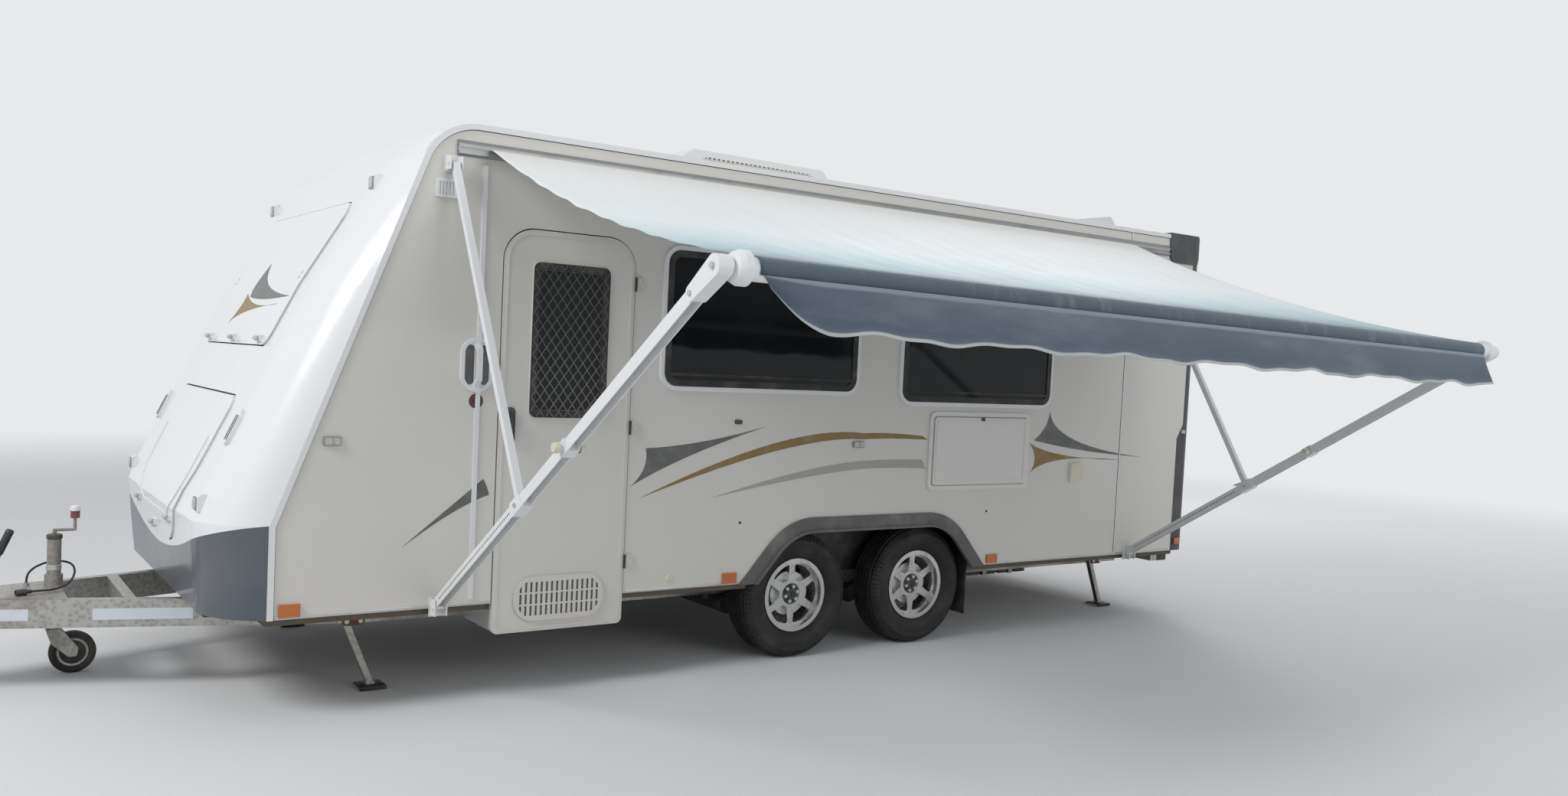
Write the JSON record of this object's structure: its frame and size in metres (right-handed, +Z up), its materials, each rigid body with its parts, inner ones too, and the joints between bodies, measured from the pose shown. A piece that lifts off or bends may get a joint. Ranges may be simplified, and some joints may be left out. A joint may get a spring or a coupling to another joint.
{
  "type": "tandem-axle travel caravan",
  "caption": "Travel caravan parked on its legs and jockey wheel, with its side awning out, entry door, lids, fold-down table and roof unit.",
  "frame": {"origin": "centre of the tow ball in the coupling", "axes": "+X rearwards along the caravan, +Y to the off side (the entry door is at -Y), +Z up"},
  "size_m": [7.9254, 4.7118, 2.8858],
  "materials": {
    "alloy": "satin",
    "amber_lens": "gloss",
    "arm_white": "satin",
    "awning_cloth": "matt",
    "black_plastic": "matt",
    "black_rubber": "matt",
    "body_white": "satin",
    "dark_steel": "satin",
    "door_white": "satin",
    "floor_ply": "matt",
    "frame_white": "satin",
    "galvanised": "satin",
    "moulding_grey": "satin",
    "moulding_white": "gloss",
    "painted_steel": "satin",
    "roof_white": "satin",
    "screen_mesh": "satin",
    "tinted_glass": "gloss",
    "trim_grey": "satin",
    "tyre": "matt",
    "valance_cloth": "matt"
  },
  "bodies": {
    "van": {"awning_arms": "arm_white", "awning_canopy": "awning_cloth", "awning_rail": "trim_grey", "awning_roller": "arm_white", "awning_valance": "valance_cloth", "bumper": "galvanised", "chassis": "galvanised", "coupling": "galvanised", "door_hinges": "black_plastic", "floor": "floor_ply", "front_panel": "moulding_white", "front_skirt": "moulding_grey", "gas_locker": "painted_steel", "jockey_mast": "dark_steel", "lamps": "amber_lens", "lead": "black_rubber", "lead_plug": "black_plastic", "mudflaps": "black_rubber", "rear_panel": "body_white", "rear_surround": "moulding_grey", "roof": "roof_white", "roof_cooler": "moulding_white", "spare_rim": "alloy", "spare_tyre": "tyre", "step_well": "painted_steel", "table_frame": "frame_white", "trailing_arms": "dark_steel", "wall_fittings": "frame_white", "wall_left": "body_white", "wall_right": "body_white", "water_tanks": "black_plastic", "wheel_arches": "trim_grey", "wheel_boxes": "black_plastic", "window_frames": "frame_white", "window_glass": "tinted_glass"},
    "wheel_front_left": {"rim_front_left": "alloy", "tyre_front_left": "tyre"},
    "wheel_front_right": {"rim_front_right": "alloy", "tyre_front_right": "tyre"},
    "wheel_rear_left": {"rim_rear_left": "alloy", "tyre_rear_left": "tyre"},
    "wheel_rear_right": {"rim_rear_right": "alloy", "tyre_rear_right": "tyre"},
    "jockey_leg": {"jockey_leg": "galvanised"},
    "jockey_fork": {"jockey_fork": "galvanised"},
    "jockey_wheel": {"jockey_wheel": "black_rubber"},
    "leg_front_left": {"leg_front_left": "galvanised"},
    "leg_front_right": {"leg_front_right": "galvanised"},
    "leg_rear_left": {"leg_rear_left": "galvanised"},
    "leg_rear_right": {"leg_rear_right": "galvanised"},
    "door": {"door": "door_white", "door_glass": "tinted_glass", "door_handle": "black_plastic", "door_screen": "screen_mesh"},
    "front_cover": {"front_cover": "moulding_white"},
    "gas_lid": {"gas_lid": "moulding_white"},
    "table_leaf": {"table_leaf": "frame_white"},
    "hatch_lid": {"hatch_lid": "frame_white"}
  },
  "joints": [
    {"name": "wheel_front_left_spin", "type": "hinge", "parent": "van", "child": "wheel_front_left", "pos_m": [4.274, -1.0125, -0.098], "axis": [0, 1, 0], "continuous": true},
    {"name": "wheel_front_right_spin", "type": "hinge", "parent": "van", "child": "wheel_front_right", "pos_m": [4.274, 1.0125, -0.098], "axis": [0, 1, 0], "continuous": true},
    {"name": "wheel_rear_left_spin", "type": "hinge", "parent": "van", "child": "wheel_rear_left", "pos_m": [5.171, -1.0125, -0.098], "axis": [0, 1, 0], "continuous": true},
    {"name": "wheel_rear_right_spin", "type": "hinge", "parent": "van", "child": "wheel_rear_right", "pos_m": [5.171, 1.0125, -0.098], "axis": [0, 1, 0], "continuous": true},
    {"name": "jockey_lift", "type": "slide", "parent": "van", "child": "jockey_leg", "axis": [0, 0, 1], "range_m": [-0.12, 0.06]},
    {"name": "jockey_swivel", "type": "hinge", "parent": "jockey_leg", "child": "jockey_fork", "pos_m": [0.785, 0.11, -0.227], "axis": [0, 0, 1], "continuous": true},
    {"name": "jockey_wheel_spin", "type": "hinge", "parent": "jockey_fork", "child": "jockey_wheel", "pos_m": [0.869, 0.11, -0.35], "axis": [0, 1, 0], "continuous": true},
    {"name": "leg_front_left_drop", "type": "hinge", "parent": "van", "child": "leg_front_left", "pos_m": [1.89, -0.745, -0.094], "axis": [0, -1, 0], "range_deg": [0, 66]},
    {"name": "leg_front_right_drop", "type": "hinge", "parent": "van", "child": "leg_front_right", "pos_m": [1.89, 0.745, -0.094], "axis": [0, -1, 0], "range_deg": [0, 66]},
    {"name": "leg_rear_left_drop", "type": "hinge", "parent": "van", "child": "leg_rear_left", "pos_m": [7.14, -0.745, -0.094], "axis": [0, -1, 0], "range_deg": [0, 66]},
    {"name": "leg_rear_right_drop", "type": "hinge", "parent": "van", "child": "leg_rear_right", "pos_m": [7.14, 0.745, -0.094], "axis": [0, -1, 0], "range_deg": [0, 66]},
    {"name": "door_swing", "type": "hinge", "parent": "van", "child": "door", "pos_m": [3.135, -1.187, 0.84], "axis": [0, 0, 1], "range_deg": [0, 165]},
    {"name": "front_cover_lift", "type": "hinge", "parent": "van", "child": "front_cover", "pos_m": [1.86419, 0, 1.843], "axis": [0, 1, 0], "range_deg": [0, 80]},
    {"name": "gas_lid_lift", "type": "hinge", "parent": "van", "child": "gas_lid", "pos_m": [1.41373, 0, 0.929], "axis": [0, 1, 0], "range_deg": [0, 75]},
    {"name": "table_fold", "type": "hinge", "parent": "van", "child": "table_leaf", "pos_m": [5.5665, -1.195, 0.514], "axis": [1, 0, 0], "range_deg": [0, 90]},
    {"name": "hatch_lift", "type": "hinge", "parent": "van", "child": "hatch_lid", "pos_m": [6.765, -0.55, 2.266], "axis": [0, -1, 0], "range_deg": [0, 50]}
  ]
}
